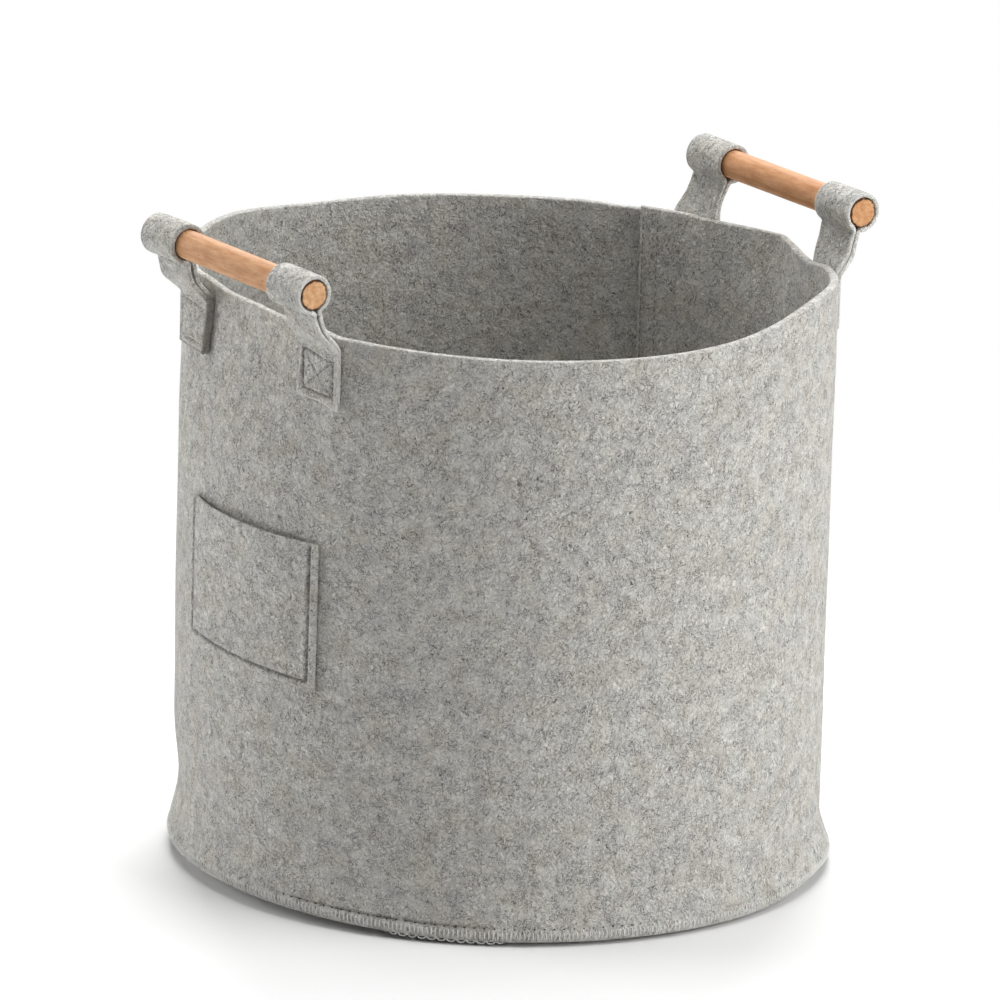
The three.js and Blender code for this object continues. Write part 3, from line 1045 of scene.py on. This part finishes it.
@dataclass
class Strap:
    """One felt strip folded double round the dowel, both its ends sewn to the outside of the wall.

    A place on the strap is given by its side frame: a is out from the fold's middle plane, b is up from the
    line where the strap bends over the rim. Below that line it follows the wall. Above it the strap leans
    out, and it turns from the wall's direction to the dowel's on its way up.
    """

    wall: Wall
    side: Side
    end: End
    width: float = 30.0
    layer: float = 2.5
    spacing: float = 118.0
    bend_distance: float = 166.8
    bend_height: float = 315.0
    lean: float = 18.5
    fold_lean: float = 18.5
    neck_lean: float = 18.5
    tab: float = 28.8
    dowel_height: float = 35.0
    dowel_room: float = 8.4
    neck: float = 2.0
    waist: float = 0.07
    edge_round: float = 1.1
    part: float = 0.6
    squeezed: float = 0.15
    edge_lift: float = 0.6
    point: float = 0.0
    press: float = 0.8
    # How much the painted shade on the cut edge fades above the bend
    painted_shade_fade: float = 0.0
    groove_half: float = 0.7

    @property
    def name(self) -> str:
        """The strap's place in words."""
        return f"{self.side.name.lower()}_{self.end.name.lower()}"

    @property
    def middle_y(self) -> float:
        """Where the strap's middle is along Y."""
        return self.end.value * self.spacing / 2

    def fold(self) -> tuple[Array, Array, Array]:
        """The strip's path from its inner end, up, round the dowel and down to its outer end.

        The stem is straight, a fillet turns it out, and an arc round the dowel joins the two fillets. The
        arcs touch where the line of their middles crosses them.

        Returns:
            The path's a and b, and the length along it.
        """
        ring = self.dowel_room + self.layer / 2
        aside = self.layer + self.neck
        small = aside - self.layer / 2
        drop = np.sqrt((ring + small) ** 2 - aside**2)
        low = self.dowel_height - drop
        turn = np.arctan2(drop, aside)
        sewn = spread(self.tab, 0.55, self.edge_round)[:-5]
        stem = np.concatenate([sewn, np.arange(self.tab, self.tab + low, 0.7)])
        fillet = np.linspace(0, turn, 8)
        arc = np.linspace(np.pi + turn, -turn, 72)
        up_a = np.full(stem.size, -self.layer / 2)
        a = np.concatenate([up_a, -aside + small * np.cos(fillet), ring * np.cos(arc[1:-1])])
        over = self.dowel_height + ring * np.sin(arc[1:-1])
        b = np.concatenate([stem - self.tab, low + small * np.sin(fillet), over])
        a = np.concatenate([a, aside - small * np.cos(fillet[::-1]), -up_a])
        b = np.concatenate([b, low + small * np.sin(fillet[::-1]), (stem - self.tab)[::-1]])
        a = a + np.sign(a) * self.part * smooth(b, 2, low) * (b < low + 0.01)
        a = a - np.sign(a) * self.squeezed * (1 - smooth(b, -3, 6)) * (np.abs(a) < self.layer)
        along = np.concatenate([[0], np.cumsum(np.hypot(np.diff(a), np.diff(b)))])
        return a, b, along

    def surface(self, across: Array, a: Array, b: Array) -> Array:
        """Puts places on the strap into the frame of the solids.

        Its lean goes from the fold's at the bend to the neck's under the dowel, in a path scaled to end
        where a straight strap would, and its foot lies on the wall.

        Args:
            across: From the strap's middle line along Y, in millimetres.
            a: Out from the fold's middle plane.
            b: Up from the bend line.

        Returns:
            Points in millimetres.
        """
        waist = 1 - self.waist * bell(b, 17, 8.5) * (np.abs(a) < self.layer)
        step = 0.1
        run = np.arange(-40, 60, step)
        eased = self.fold_lean + (self.neck_lean - self.fold_lean) * smooth(run, 2, 24)
        tilt = np.radians(eased) * smooth(run, -2, 2)
        out_run = np.cumsum(np.sin(tilt)) * step
        up_run = np.cumsum(np.cos(tilt)) * step
        top = self.dowel_height
        out_run = out_run * top * np.sin(np.radians(self.lean)) / np.interp(top, run, out_run)
        up_run = up_run - np.interp(top, run, up_run) + top * np.cos(np.radians(self.lean))
        angle = np.interp(b, run, tilt)
        out = np.interp(b, run, out_run) + a * np.cos(angle)
        up = np.interp(b, run, up_run) - a * np.sin(angle)
        y = self.middle_y + across * waist
        height = self.bend_height + up
        level = np.minimum(height, self.bend_height + 1)
        curled = self.edge_lift * smooth(np.abs(across), 11, 15) * (1 - smooth(b, -4, 8))
        on_wall = self.wall.at_side(y, level, self.side) - 0.2 + curled
        slope = (self.wall.at_side(y + 1, level, self.side) - self.wall.at_side(y - 1, level, self.side)) / 2
        slope = slope * (1 - smooth(b, 0, 26))
        plane = on_wall + smooth(b, -2, 14) * (self.bend_distance - self.layer - on_wall)
        reach = (self.layer + out) / np.sqrt(1 + slope**2)
        x = self.side.value * (plane + reach)
        y = y - slope * reach
        return stacked(x, y, height)

    def seam(self) -> list[tuple[Pair, Pair]]:
        """The stitches on the sewn end: a box and its two diagonals.

        Returns:
            The two ends of each of the six lines, as places across and up the strap.
        """
        side = self.width / 2 - 2.4
        low, top = 5.6 - self.tab, -3.0
        corners = [(-side, low - 1.6), (side - 2.0, low - 0.6), (side, top), (-side, top - 2.8)]
        box = [(corners[i], corners[(i + 1) % 4]) for i in range(4)]
        return [*box, (corners[0], corners[2]), (corners[1], corners[3])]

    def build(self, material: Material) -> Object:
        """Carries the strip's section along its fold.

        Args:
            material: The strap's felt.

        Returns:
            The piece.
        """
        a, b, along = self.fold()
        across = spread(self.width, 0.55, self.edge_round)[None, :] - self.width / 2
        if self.side is Side.RIGHT:
            across = -across
        from_side = self.width / 2 - np.abs(across)
        from_end = np.minimum(along, along[-1] - along)[:, None]
        half = self.layer / 2 * cut_edge(from_side, self.edge_round) * cut_edge(from_end, self.edge_round)
        a, b = a[:, None], b[:, None]
        drawn_down = self.point * smooth(-across, 0, 15) ** 2 * (1 - smooth(b, -self.tab, -self.tab / 2))
        b = b - drawn_down * (a > 0)
        box = bell(to_lines(across, b, self.seam()[:4]), 0, self.groove_half)
        cross = bell(to_lines(across, b, self.seam()[4:]), 0, self.groove_half)
        depth = self.press + 0.35 * waver(across + 50 * self.end.value, b, 8.0)
        sewn = depth * np.maximum(box, 0.65 * cross) * (a > 0)
        edge = 1 - smooth(np.minimum(from_side, from_end), 0.8, 1.7)
        return Sheet(
            middle=self.surface(across, a, b),
            half=half,
            place=stacked(across, along[:, None]),
            # The cut edge, whose painted shade on the left rear strap fades above the bend
            edge=edge * (1 - self.painted_shade_fade * smooth(b, 0, 12)),
            press_front=sewn,
        ).build(f"{self.name}_strap", material)


@dataclass
class Dowel:
    """A handle's wooden rod, its ends sawn square with the corner just broken."""

    side: Side
    centre: Point
    radius: float = 7.85
    length: float = 148.0
    chamfer: float = 0.7

    def build(self, wood: Material, sawn: Material) -> Object:
        """Turns the rod from its profile, about its axis along Y.

        Args:
            wood: The side's wood.
            sawn: The ends' wood.

        Returns:
            The piece.
        """
        half = self.length / 2
        corner = np.linspace(0, np.pi / 2, 6)
        face = np.array([0.0, 0.25, 0.5, 0.75, 0.95]) * (self.radius - self.chamfer)
        out = np.concatenate([face, self.radius - self.chamfer + self.chamfer * np.sin(corner)])
        along = np.concatenate([np.full(face.size, -half), -half + self.chamfer * (1 - np.cos(corner))])
        body = np.linspace(-half + self.chamfer, half - self.chamfer, 40)[1:-1]
        out = np.concatenate([out, np.full(body.size, self.radius), out[::-1]])
        along = np.concatenate([along, body, -along[::-1]])[:, None]
        angle = np.linspace(0, 2 * np.pi, 72, endpoint=False)[None, :]
        uneven = 0.06 * waver(along, angle * 8, 40.0) * (out[:, None] > self.radius - 0.01)
        r = out[:, None] + uneven
        x, y, z = self.centre
        points = stacked(x + r * np.sin(angle), y + along, z + r * np.cos(angle))
        faces = quads(numbers(points), wrap=True)[:, ::-1]
        row = np.repeat(np.arange(len(out) - 1), angle.size)
        end_rows = face.size + corner.size - 1
        ends = (row < end_rows) | (row >= len(out) - 1 - end_rows)
        name = f"{self.side.name.lower()}_beech_rod"
        return make_piece(name, points, faces, [wood, sawn], slots=ends)


@dataclass
class Stitching:
    """Rows of lockstitch, the whipped edge of the hem and the overlock round the base.

    A pitch is the length of a stitch with its gap, in millimetres, and a share is how much of the pitch the
    thread shows. Half a stitch of the hem's row and the slant of a strand are plan angles in radians.
    """

    wall: Wall
    thread: float = 0.4
    lift: float = 0.3
    pitch: float = 5.2
    strand: float = 2.3
    row_from: float = 196.0
    row_to: float = 262.0
    row_half: float = 0.004
    slant: float = 0.004
    # Where the overlock's loops lie when drawn in, and what is added to that where they hang out
    loop_low: Pair = (1.0, -2.5)
    loop_high: Pair = (0.3, 0.9)
    loop_outer: Pair = (-3.0, 3.1)
    loop_thread: float = 0.42
    loop_steps: int = 12
    pocket_pitch: float = 4.2
    pocket_share: float = 0.72
    strap_pitch: float = 3.4
    lap_pitch: float = 4.6
    share: float = 0.74

    def stitches(self, name: str, starts: Array, ends: Array, facing: Array, material: Material) -> Object:
        """Small threads that rise out of the felt at one end and dip back in at the other.

        Each is a tube along a bow: start + t(end - start) + n(lift sin(pi t)), its radius r sqrt(sin(pi t)).

        Args:
            name: The piece's name.
            starts: Where each stitch comes out.
            ends: Where it goes in.
            facing: The felt's normal there.
            material: The thread.

        Returns:
            The piece.
        """
        t = np.linspace(0.02, 0.98, 7)
        bow = np.sin(np.pi * t)
        ring = np.linspace(0, 2 * np.pi, 6, endpoint=False)
        along = ends - starts
        direction = along / np.linalg.norm(along, axis=1, keepdims=True)
        aside = np.cross(facing, direction)
        core = starts[:, None] + t[None, :, None] * along[:, None]
        core = core + (self.lift * bow)[None, :, None] * facing[:, None]
        size = (self.thread * np.sqrt(bow))[None, :, None, None]
        turn = np.cos(ring)[None, None, :, None] * facing[:, None, None]
        turn = turn + np.sin(ring)[None, None, :, None] * aside[:, None, None]
        points = core[:, :, None] + size * turn
        count = t.size * ring.size
        one = np.arange(count).reshape(t.size, ring.size)
        faces = quads(one, wrap=True)
        every = (faces[None] + count * np.arange(len(starts))[:, None, None]).reshape(-1, 4)
        return make_piece(name, points, every, [material])

    def along_line(self, length: float, pitch: float, share: float) -> tuple[Array, Array]:
        """Splits a length into stitches.

        Args:
            length: The length of the line, in millimetres.
            pitch: The length of a stitch with its gap.
            share: How much of the pitch the thread shows.

        Returns:
            The start and the end of each stitch, as shares of the line.
        """
        count = max(1, round(length / pitch))
        first = np.arange(count) / count
        return first + (1 - share) / 2 / count, first + (1 + share) / 2 / count

    def on_hem(self, turn: Array, up: float, off: float) -> Array:
        """Points on the hem.

        Args:
            turn: Plan angle in radians.
            up: Distance up the sheet from its lower edge, in millimetres.
            off: Distance off the felt's outer face.

        Returns:
            Points in millimetres.
        """
        height = self.wall.foot(turn) + up
        rolled = self.wall.hem_roll * (1 - smooth(up, 0, self.wall.seam_height)) ** 2
        return polar(self.wall.outside(turn, height) + off - rolled, turn, height)

    def hem(self, material: Material) -> Object:
        """The thread that whips the hem's edge: close, nearly upright strands from the seam to the edge.

        Args:
            material: The thread.

        Returns:
            The piece.
        """
        length = 2 * np.pi * self.wall.radius
        angle = 2 * np.pi * np.arange(round(length / self.strand)) * self.strand / length
        slant = self.slant * waver(angle * self.wall.radius, 0 * angle, 7.0)
        high = self.on_hem(angle, self.wall.seam_height, -0.3)
        low = self.on_hem(angle + slant, 0.4, -0.1)
        return self.stitches("hem_thread", high, low, polar(1.0, angle, 0.0), material)

    def hem_row(self, material: Material) -> Object:
        """Short lockstitches along the top of the whipped band, sunk in the felt, at the front left only.

        Args:
            material: The thread.

        Returns:
            The piece.
        """
        step = self.pitch / self.wall.radius
        middle = np.arange(np.radians(self.row_from), np.radians(self.row_to), step)
        up = self.wall.seam_height + 0.3
        first = self.on_hem(middle - self.row_half, up, -0.3)
        last = self.on_hem(middle + self.row_half, up, -0.3)
        return self.stitches("hem_row_thread", first, last, polar(1.0, middle, 0.0), material)

    def overlock(self, base: Base, material: Material) -> Object:
        """One thread round the base's edge, inside the hem, with loops that hang out at the front left.

        Each loop is half an ellipse: its height is high - (high - low) sin(t) and its place along the edge
        goes as (1 - cos(t)) / 2, for t from 0 to pi. Its distance from the axis goes from outer to inner in
        the same way as its height.

        Args:
            base: The base, whose edge it goes round.
            material: The thread.

        Returns:
            The piece.
        """
        count = round(2 * np.pi * self.wall.radius / self.pitch)
        steps = self.loop_steps
        half_turn = np.tile(np.pi * np.arange(steps) / steps, count)
        angle = 2 * np.pi * (np.repeat(np.arange(count), steps) + (1 - np.cos(half_turn)) / 2) / count
        rise = 1 - np.sin(half_turn)
        shown = base.shown(angle)
        foot = self.wall.foot(angle)
        low = foot + self.loop_low[0] + self.loop_low[1] * shown
        high = foot + self.loop_high[0] + self.loop_high[1] * shown
        hem = self.wall.radius + self.wall.hem_reach(angle) - self.wall.hem_roll
        inner = base.edge(angle) + (hem - 0.5 - base.edge(angle)) * shown
        outer = hem + self.loop_outer[0] + self.loop_outer[1] * shown
        core = polar(inner + (outer - inner) * rise, angle, low + (high - low) * rise)
        ahead = np.roll(core, -1, axis=0) - np.roll(core, 1, axis=0)
        ahead /= np.linalg.norm(ahead, axis=1, keepdims=True)
        aside = np.cross(ahead, polar(1.0, angle, 0.0))
        aside /= np.linalg.norm(aside, axis=1, keepdims=True)
        out = np.cross(aside, ahead)
        ring = np.linspace(0, 2 * np.pi, 6, endpoint=False)[:, None, None]
        points = core[None] + self.loop_thread * (np.cos(ring) * out[None] + np.sin(ring) * aside[None])
        index = numbers(points)
        index = np.concatenate([index, index[:1]])
        return make_piece("base_overlock", points, quads(index, wrap=True)[:, ::-1], [material])

    def on_pocket(self, pocket: Pocket, material: Material) -> Object:
        """The lockstitch on three sides of the pocket.

        Args:
            pocket: The pocket.
            material: The thread.

        Returns:
            The piece.
        """
        starts, ends = self._split(pocket.seam(), self.pocket_pitch, self.pocket_share)
        off = pocket.thickness - 1.35
        first = pocket.surface(starts[:, 0], starts[:, 1], off)
        last = pocket.surface(ends[:, 0], ends[:, 1], off)
        angle = np.radians(pocket.turn) + (starts + ends)[:, 0] / 2 / self.wall.radius
        return self.stitches("pocket_thread", first, last, polar(1.0, angle, 0.0), material)

    def on_strap(self, strap: Strap, material: Material) -> Object:
        """The boxed cross on the sewn end of a strap.

        Args:
            strap: The strap.
            material: The thread.

        Returns:
            The piece.
        """
        starts, ends = self._split(strap.seam(), self.strap_pitch, self.share)
        off = np.full(len(starts), strap.layer - 1.0)
        first = strap.surface(starts[:, 0], off, starts[:, 1])
        last = strap.surface(ends[:, 0], off, ends[:, 1])
        facing = np.tile([float(strap.side.value), 0.0, 0.0], (len(starts), 1))
        return self.stitches(f"{strap.name}_thread", first, last, facing, material)

    def lap(self, material: Material) -> Object:
        """The two rows up the lap of the wall, seen from inside and outside.

        Args:
            material: The thread.

        Returns:
            The piece.
        """
        first, last = self.along_line(self.wall.length - 8, self.lap_pitch, self.share)
        rows = []
        for degrees in (self.wall.lap_outer_end + 1.0, self.wall.lap_inner_end - 1.0):
            angle = np.full(first.size, np.radians(degrees))
            for way in (-1, 1):
                ends = []
                for share in (first, last):
                    height = 12 + share * (self.wall.length - 12)
                    off = way * self.wall.thickness + 0.2
                    ends.append(polar(self.wall.outside(angle, height) + off, angle, height))
                rows.append((*ends, polar(way, angle, 0.0)))
        starts, stops, facings = (np.concatenate(part) for part in zip(*rows))
        return self.stitches("lap_thread", starts, stops, facings, material)

    def _split(self, lines: list[tuple[Pair, Pair]], pitch: float, share: float) -> tuple[Array, Array]:
        """Splits straight lines on a sheet into stitches.

        Args:
            lines: The two ends of each line.
            pitch: The length of a stitch with its gap, in millimetres.
            share: How much of the pitch the thread shows.

        Returns:
            The starts and the ends of the stitches, as places on the sheet.
        """
        starts, ends = [], []
        for a, b in lines:
            a, b = np.array(a), np.array(b)
            first, last = self.along_line(np.linalg.norm(b - a), pitch, share)
            starts.append(a + first[:, None] * (b - a))
            ends.append(a + last[:, None] * (b - a))
        return np.concatenate(starts), np.concatenate(ends)


@dataclass
class Studio:
    """A plain pale floor, a white surround and soft lamps, with the camera of the photograph."""

    azimuth: float = -35.5
    elevation: float = 15.99
    roll: float = 1.75
    distance: float = 7500.0
    lens: float = 503.46
    look_height: float = 160.0
    look_up: float = 33.25
    look_aside: float = -0.97

    def camera(self) -> Object:
        """Sets the camera up: it looks along the fitted direction, rolled about it.

        Returns:
            The camera.
        """
        a, e, r = np.radians([self.azimuth, self.elevation, self.roll])
        back = np.array([np.sin(a) * np.cos(e), -np.cos(a) * np.cos(e), np.sin(e)])
        right = np.array([np.cos(a), np.sin(a), 0.0])
        up = np.cross(back, right)
        right, up = right * np.cos(r) + up * np.sin(r), up * np.cos(r) - right * np.sin(r)
        eye = np.array([0, 0, self.look_height]) + back * self.distance
        target = np.array([0, 0, self.look_height]) + up * self.look_up + right * self.look_aside
        back = (eye - target) / np.linalg.norm(eye - target)
        right = np.cross(up, back)
        right /= np.linalg.norm(right)
        up = np.cross(back, right)
        data = bpy.data.cameras.new("camera")
        data.lens = self.lens
        data.sensor_width = 36.0
        data.clip_start, data.clip_end = 0.1, 60.0
        camera = bpy.data.objects.new("camera", data)
        turn = Matrix(np.column_stack([right, up, back]).tolist()).to_4x4()
        camera.matrix_world = Matrix.Translation(Vector((eye * MM).tolist())) @ turn
        bpy.context.scene.collection.objects.link(camera)
        bpy.context.scene.camera = camera
        return camera

    def lamp(
        self, name: str, aside: float, height: float, distance: float, size: float, level: float
    ) -> Object:
        """A square soft lamp that faces the basket, its power = level (pi distance)^2.

        Args:
            name: The lamp's name.
            aside: Degrees to the right of the camera, round the basket.
            height: Degrees above the horizon.
            distance: Metres from the basket's middle.
            size: The length of its side, in metres.
            level: How bright it renders a surface that faces it, as a share of the surface's own colour.

        Returns:
            The lamp.
        """
        data = bpy.data.lights.new(name, "AREA")
        data.size = size
        data.energy = level * (np.pi * distance) ** 2
        lamp = bpy.data.objects.new(name, data)
        turn, up = np.radians(self.azimuth - 90 + aside), np.radians(height)
        way = Vector((np.cos(turn) * np.cos(up), np.sin(turn) * np.cos(up), np.sin(up)))
        middle = Vector((0, 0, self.look_height * MM))
        place = way * distance + middle
        turned = (place - middle).to_track_quat("Z", "Y").to_matrix().to_4x4()
        lamp.matrix_world = Matrix.Translation(place) @ turned
        bpy.context.scene.collection.objects.link(lamp)
        return lamp

    def world(self) -> None:
        """The surround: white to the camera and in reflections, a softer grey as light."""
        world = bpy.data.worlds.new("surround")
        bpy.context.scene.world = world
        world.use_nodes = True
        tree = world.node_tree
        tree.nodes.clear()
        seen = self._seen(tree)
        soft = add(tree, "Background", {"Color": (1, 1, 1, 1), "Strength": 0.035})[0]
        white = add(tree, "Background", {"Color": (1, 1, 1, 1), "Strength": 1.0})[0]
        both = add(tree, "MixShader", links={0: seen, 1: soft, 2: white})[0]
        add(tree, "OutputWorld", links={"Surface": both})

    def floor(self) -> Object:
        """A round floor: pale where the basket's shadow lies, and white to the camera further out.

        Returns:
            The floor.
        """
        angle = np.linspace(0, 2 * np.pi, 96, endpoint=False)[None, :]
        out = np.array([0.0, 300.0, 700.0, 1500.0, 4000.0, 12000.0])[:, None]
        points = polar(out, angle, 0.0)
        made = new_material("matt white floor board")
        tree = made.node_tree
        where = add(tree, "TexCoord")["Object"]
        distance = add(tree, "VectorMath", links={0: where}, operation="LENGTH")["Value"]
        limits = {"From Min": 0.3, "From Max": 0.8}
        far = add(tree, "MapRange", limits, {"Value": distance}, interpolation_type="SMOOTHSTEP")[0]
        share = add(tree, "Math", links={0: self._seen(tree), 1: far}, operation="MULTIPLY")[0]
        matt = add(tree, "BsdfDiffuse", {"Color": linear("#f2f2f2")})[0]
        white = add(tree, "Emission", {"Color": (1, 1, 1, 1), "Strength": 1.0})[0]
        both = add(tree, "MixShader", links={0: share, 1: matt, 2: white})[0]
        add(tree, "OutputMaterial", links={"Surface": both})
        floor = make_piece("floor", points, quads(numbers(points), wrap=True)[:, ::-1], [made])
        return floor

    def _seen(self, tree: Tree) -> Socket:
        """Tells what the camera sees from what only gives light.

        Args:
            tree: The material's or world's nodes.

        Returns:
            1 for what the camera sees itself, in a reflection or through glass, and 0 for the rest.
        """
        path = add(tree, "LightPath")
        seen = path["Is Camera Ray"]
        for other in ("Is Glossy Ray", "Is Transmission Ray"):
            seen = add(tree, "Math", links={0: seen, 1: path[other]}, operation="MAXIMUM")[0]
        return seen

    def build(self) -> None:
        """Sets up the camera, the surround, the floor and the lamps."""
        bpy.context.scene.view_settings.view_transform = "Standard"
        self.camera()
        self.world()
        self.floor()
        self.lamp("lamp_right", 72.0, 22.0, 2.6, 2.4, 1.0)
        self.lamp("lamp_left", -100.0, 18.0, 2.6, 1.4, 0.55)
        self.lamp("lamp_rear", 180.0, 40.0, 2.6, 1.4, 0.9)
        self.lamp("lamp_top", 0.0, 88.0, 2.4, 1.6, 0.72)


@dataclass
class Basket:
    """The whole basket: its pieces, what each rides on, and the solids that each stands for."""

    wall: Wall = field(default_factory=Wall)

    def shell(self) -> None:
        """Builds the wall, the base and the pocket with their stitching."""
        stitching = Stitching(self.wall)
        whipping = Stitching(self.wall, lift=1.35)
        grey = Thread("grey polyester thread").material()
        pale = Thread("pale polyester overlock thread", "#ecece9", "#b0b0ad").material()
        # A darker copy of the grey thread: painted shade on the lockstitches in the hem's groove
        painted_shade_thread = Thread("grey polyester thread in shadow", "#4a4946", "#2e2d2b").material()
        body = Felt("grey marled pressed felt of the wall").material()
        self.settle(self.wall.build(body), "basket", "wall")
        disc = Felt("grey marled pressed felt of the base", shift=(900.0, 300.0, 40.0)).material()
        base = Base(self.wall)
        self.settle(base.build(disc), "basket", "base")
        pocket = Pocket(self.wall)
        patch = Felt("grey marled pressed felt of the pocket", shift=(400.0, 500.0, 80.0)).material()
        self.settle(pocket.build(patch), "basket", "pocket")
        self.settle(whipping.hem(pale), "basket")
        self.settle(stitching.hem_row(painted_shade_thread), "basket")
        self.settle(stitching.overlock(base, pale), "basket")
        self.settle(stitching.on_pocket(pocket, grey), "basket")
        self.settle(stitching.lap(grey), "basket")

    def handle(self, side: Side) -> None:
        """Builds one handle: two straps, their stitching and the dowel.

        Args:
            side: Which side of the basket.
        """
        word = side.name.lower()
        stitching = Stitching(self.wall, thread=0.3)
        dark = Thread(f"dark grey polyester thread, {word}", "#85837e", "#5c5b58").material()
        for end in End:
            if side is Side.RIGHT:
                strap = Strap(self.wall, side, end, part=0.15)
            elif end is End.FRONT:
                strap = Strap(self.wall, side, end, fold_lean=27.0, neck_lean=15.0, point=3.2)
            else:
                # The left rear strap's painted shade on its cut edge fades above the bend
                strap = Strap(self.wall, side, end, fold_lean=27.0, neck_lean=15.0, press=0.5, painted_shade_fade=0.9)
            shift = (170.0 * side.value, 260.0 * end.value, 20.0)
            name = f"grey marled pressed felt of the {word} {end.name.lower()} strap"
            # The front straps' cut edges are paler, a painted highlight on their lit outlines
            felt = Felt(name, shift=shift, cut_and_painted_light_share=0.5 if end is End.FRONT else 0.12)
            # The left rear strap's cut edges are dark grey: painted shade on the shaded side of its tab
            if side is Side.LEFT and end is End.REAR:
                felt = replace(felt, cut_and_painted_light_share=0.6, cut_and_shade_code="#7d7a74")
            piece = strap.build(felt.material())
            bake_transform(piece)
            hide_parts(f"{strap.name}_tab", f"{strap.name}_loop")
            self.report(piece)
            self.settle(stitching.on_strap(strap, dark), "basket")
        low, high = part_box(f"{word}_dowel")
        centre = tuple((low + high) / 2 / MM)
        wood = Beech(f"oiled beech, {word} rod", centre)
        sawn = replace(wood, name=f"sawn beech end grain, {word} rod", fleck="#80502f", end=True)
        sawn = replace(sawn, light="#dab088", dark="#b48356")
        if side is Side.RIGHT:
            wood = replace(wood, light="#cc9a70", dark="#ab754c")
            sawn = replace(sawn, light="#d2a277", dark="#ae784c")
        rod = Dowel(side, centre).build(wood.material(), sawn.material())
        self.settle(rod, f"{word}_grip", f"{word}_dowel")

    def settle(self, piece: Object, body: str, node: str = "") -> None:
        """Lets a piece ride on its body and stand for its solid, and logs it.

        Args:
            piece: The piece.
            body: The body that it moves with.
            node: The solid that it stands for, if any.
        """
        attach(piece, body)
        if node:
            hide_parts(node)
        self.report(piece)

    def report(self, piece: Object) -> None:
        """Logs a piece's name and how many faces it has."""
        log.info("%s: %d faces", piece.name, len(piece.data.polygons))


def main() -> None:
    """Loads the solids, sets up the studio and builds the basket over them."""
    logging.basicConfig(level=logging.INFO, format="%(name)s: %(message)s")
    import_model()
    Studio().build()
    basket = Basket()
    basket.shell()
    for side in Side:
        basket.handle(side)


if __name__ == "__main__":
    main()
